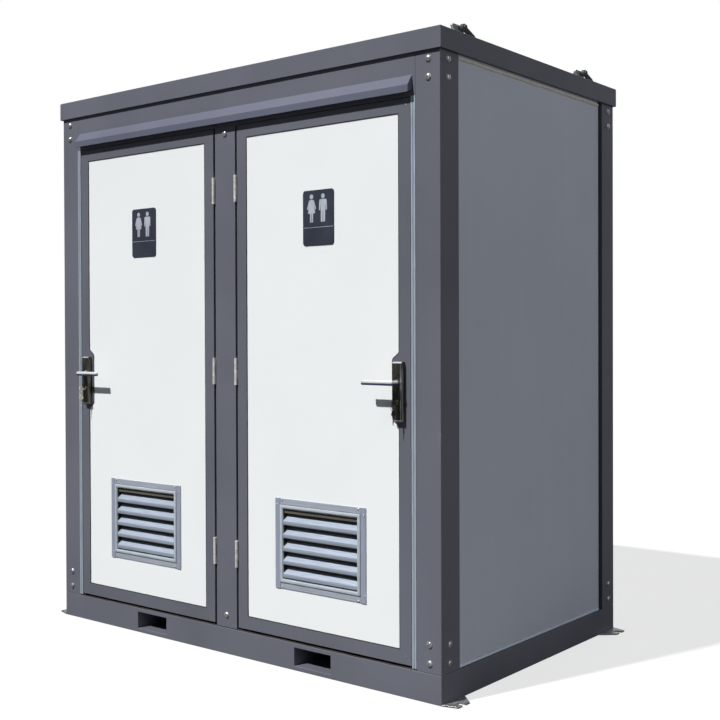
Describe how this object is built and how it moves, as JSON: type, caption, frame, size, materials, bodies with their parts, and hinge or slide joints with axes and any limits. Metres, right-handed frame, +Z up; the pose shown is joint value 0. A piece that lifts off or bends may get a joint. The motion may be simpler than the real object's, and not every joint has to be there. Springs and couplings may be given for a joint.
{
  "type": "portable toilet cabin",
  "caption": "Steel-framed double toilet cabin with two louvred doors, a rain awning over them, fork pockets, anchor plates and lifting shackles.",
  "frame": {"origin": "Centre of the base frame's footprint, on the ground.", "axes": "+Z up, -Y out of the doors, +X to the right for someone who faces the doors."},
  "size_m": [2.24, 1.3745, 2.4068],
  "materials": {
    "frame_paint": "satin",
    "wall_paint": "satin",
    "awning_paint": "satin",
    "floor_plywood": "matte",
    "inner_white": "satin",
    "galvanised_steel": "satin",
    "shackle_paint": "satin",
    "bare_aluminium": "satin",
    "door_paint": "satin",
    "sign_plastic": "matte",
    "lock_cover": "polished",
    "lock_steel": "satin",
    "lever_chrome": "polished",
    "key_steel": "satin",
    "hinge_steel": "satin",
    "pan_ceramic": "gloss",
    "cistern_plastic": "gloss",
    "seat_plastic": "gloss",
    "button_chrome": "polished",
    "pipe_plastic": "matte",
    "light_plastic": "matte"
  },
  "bodies": {
    "cabin": {"anchor_plates": "galvanised_steel", "base_frame": "frame_paint", "ceiling_lights": "light_plastic", "ceiling_panel": "inner_white", "cisterns": "cistern_plastic", "door_header": "frame_paint", "door_jambs": "bare_aluminium", "door_mullion": "frame_paint", "fixed_hinge_leaves": "hinge_steel", "floor_deck": "floor_plywood", "frame_bolts": "galvanised_steel", "front_left_post": "frame_paint", "front_right_post": "frame_paint", "left_wall_panel": "wall_paint", "lifting_lugs": "galvanised_steel", "partition_wall": "inner_white", "rain_awning": "awning_paint", "rear_left_post": "frame_paint", "rear_right_post": "frame_paint", "rear_wall_panel": "wall_paint", "right_wall_panel": "wall_paint", "roof_frame": "frame_paint", "roof_sheet": "galvanised_steel", "toilet_pans": "pan_ceramic", "wall_trims": "bare_aluminium", "waste_pipes": "pipe_plastic"},
    "right_door": {"right_door_frame": "bare_aluminium", "right_door_panel": "door_paint", "right_louvre": "bare_aluminium", "right_door_sign": "sign_plastic", "right_lock_plates": "lock_cover", "right_lock_case": "lock_steel", "right_door_hinges": "hinge_steel"},
    "right_lever_body": {"right_lever": "lever_chrome"},
    "right_latch_bolt_body": {"right_latch_bolt": "lock_steel"},
    "right_key_body": {"right_key": "key_steel"},
    "right_deadbolt_body": {"right_deadbolt": "lock_steel"},
    "right_spare_key_body": {"right_spare_key": "key_steel"},
    "right_toilet_seat_body": {"right_toilet_seat": "seat_plastic"},
    "right_toilet_lid_body": {"right_toilet_lid": "seat_plastic"},
    "right_flush_button_body": {"right_flush_button": "button_chrome"},
    "front_right_shackle_body": {"front_right_shackle": "shackle_paint"},
    "rear_right_shackle_body": {"rear_right_shackle": "shackle_paint"},
    "left_door": {"left_door_frame": "bare_aluminium", "left_door_panel": "door_paint", "left_louvre": "bare_aluminium", "left_door_sign": "sign_plastic", "left_lock_plates": "lock_cover", "left_lock_case": "lock_steel", "left_door_hinges": "hinge_steel"},
    "left_lever_body": {"left_lever": "lever_chrome"},
    "left_latch_bolt_body": {"left_latch_bolt": "lock_steel"},
    "left_key_body": {"left_key": "key_steel"},
    "left_deadbolt_body": {"left_deadbolt": "lock_steel"},
    "left_spare_key_body": {"left_spare_key": "key_steel"},
    "left_toilet_seat_body": {"left_toilet_seat": "seat_plastic"},
    "left_toilet_lid_body": {"left_toilet_lid": "seat_plastic"},
    "left_flush_button_body": {"left_flush_button": "button_chrome"},
    "front_left_shackle_body": {"front_left_shackle": "shackle_paint"},
    "rear_left_shackle_body": {"rear_left_shackle": "shackle_paint"}
  },
  "joints": [
    {"name": "right_door_hinge", "type": "hinge", "parent": "cabin", "child": "right_door", "pos_m": [0.0625, -0.655, 1.12], "axis": [0, 0, -1], "range_deg": [0, 90]},
    {"name": "right_lever_turn", "type": "hinge", "parent": "right_door", "child": "right_lever_body", "pos_m": [0.884, -0.655, 1.117], "axis": [0, -1, 0], "range_deg": [0, 40], "stiffness_Nm_per_rad": 1.2, "springref_deg": -34.38},
    {"name": "right_latch_slide", "type": "slide", "parent": "right_door", "child": "right_latch_bolt_body", "axis": [-1, 0, 0], "range_m": [0, 0.0081]},
    {"name": "right_key_turn", "type": "hinge", "parent": "right_door", "child": "right_key_body", "pos_m": [0.884, -0.655, 1.047], "axis": [0, -1, 0], "range_deg": [0, 90]},
    {"name": "right_deadbolt_slide", "type": "slide", "parent": "right_door", "child": "right_deadbolt_body", "axis": [1, 0, 0], "range_m": [0, 0.0161]},
    {"name": "right_spare_key_swing", "type": "hinge", "parent": "right_key_body", "child": "right_spare_key_body", "pos_m": [0.884, -0.691, 1.0286], "axis": [0, -1, 0], "range_deg": [-15, 15]},
    {"name": "right_seat_lift", "type": "hinge", "parent": "cabin", "child": "right_toilet_seat_body", "pos_m": [0.5, 0.428, 0.5343], "axis": [-1, 0, 0], "range_deg": [0, 90]},
    {"name": "right_lid_fold", "type": "hinge", "parent": "cabin", "child": "right_toilet_lid_body", "pos_m": [0.5, 0.428, 0.5343], "axis": [-1, 0, 0], "range_deg": [-90, 0]},
    {"name": "right_flush_press", "type": "slide", "parent": "cabin", "child": "right_flush_button_body", "axis": [0, 0, -1], "range_m": [0, 0.005], "stiffness_N_per_m": 400, "springref_m": -0.006},
    {"name": "left_door_hinge", "type": "hinge", "parent": "cabin", "child": "left_door", "pos_m": [-0.0625, -0.655, 1.12], "axis": [0, 0, 1], "range_deg": [0, 90]},
    {"name": "left_lever_turn", "type": "hinge", "parent": "left_door", "child": "left_lever_body", "pos_m": [-0.884, -0.655, 1.117], "axis": [0, 1, 0], "range_deg": [0, 40], "stiffness_Nm_per_rad": 1.2, "springref_deg": -34.38},
    {"name": "left_latch_slide", "type": "slide", "parent": "left_door", "child": "left_latch_bolt_body", "axis": [1, 0, 0], "range_m": [0, 0.0081]},
    {"name": "left_key_turn", "type": "hinge", "parent": "left_door", "child": "left_key_body", "pos_m": [-0.884, -0.655, 1.047], "axis": [0, 1, 0], "range_deg": [0, 90]},
    {"name": "left_deadbolt_slide", "type": "slide", "parent": "left_door", "child": "left_deadbolt_body", "axis": [-1, 0, 0], "range_m": [0, 0.0161]},
    {"name": "left_spare_key_swing", "type": "hinge", "parent": "left_key_body", "child": "left_spare_key_body", "pos_m": [-0.884, -0.691, 1.0286], "axis": [0, 1, 0], "range_deg": [-15, 15]},
    {"name": "left_seat_lift", "type": "hinge", "parent": "cabin", "child": "left_toilet_seat_body", "pos_m": [-0.5, 0.428, 0.5343], "axis": [-1, 0, 0], "range_deg": [0, 90]},
    {"name": "left_lid_fold", "type": "hinge", "parent": "cabin", "child": "left_toilet_lid_body", "pos_m": [-0.5, 0.428, 0.5343], "axis": [-1, 0, 0], "range_deg": [-90, 0]},
    {"name": "left_flush_press", "type": "slide", "parent": "cabin", "child": "left_flush_button_body", "axis": [0, 0, -1], "range_m": [0, 0.005], "stiffness_N_per_m": 400, "springref_m": -0.006},
    {"name": "front_right_shackle_swing", "type": "hinge", "parent": "cabin", "child": "front_right_shackle_body", "pos_m": [1, -0.445, 2.394], "axis": [1, 0, 0], "range_deg": [0, 200]},
    {"name": "front_left_shackle_swing", "type": "hinge", "parent": "cabin", "child": "front_left_shackle_body", "pos_m": [-1, -0.445, 2.394], "axis": [1, 0, 0], "range_deg": [0, 200]},
    {"name": "rear_right_shackle_swing", "type": "hinge", "parent": "cabin", "child": "rear_right_shackle_body", "pos_m": [1, 0.465, 2.394], "axis": [1, 0, 0], "range_deg": [0, 200]},
    {"name": "rear_left_shackle_swing", "type": "hinge", "parent": "cabin", "child": "rear_left_shackle_body", "pos_m": [-1, 0.465, 2.394], "axis": [1, 0, 0], "range_deg": [0, 200]}
  ],
  "couplings": [
    {"joint": "right_latch_slide", "follows": "right_lever_turn", "m_per_rad": 0.01146},
    {"joint": "right_deadbolt_slide", "follows": "right_key_turn", "m_per_rad": 0.010186},
    {"joint": "left_latch_slide", "follows": "left_lever_turn", "m_per_rad": 0.01146},
    {"joint": "left_deadbolt_slide", "follows": "left_key_turn", "m_per_rad": 0.010186}
  ]
}
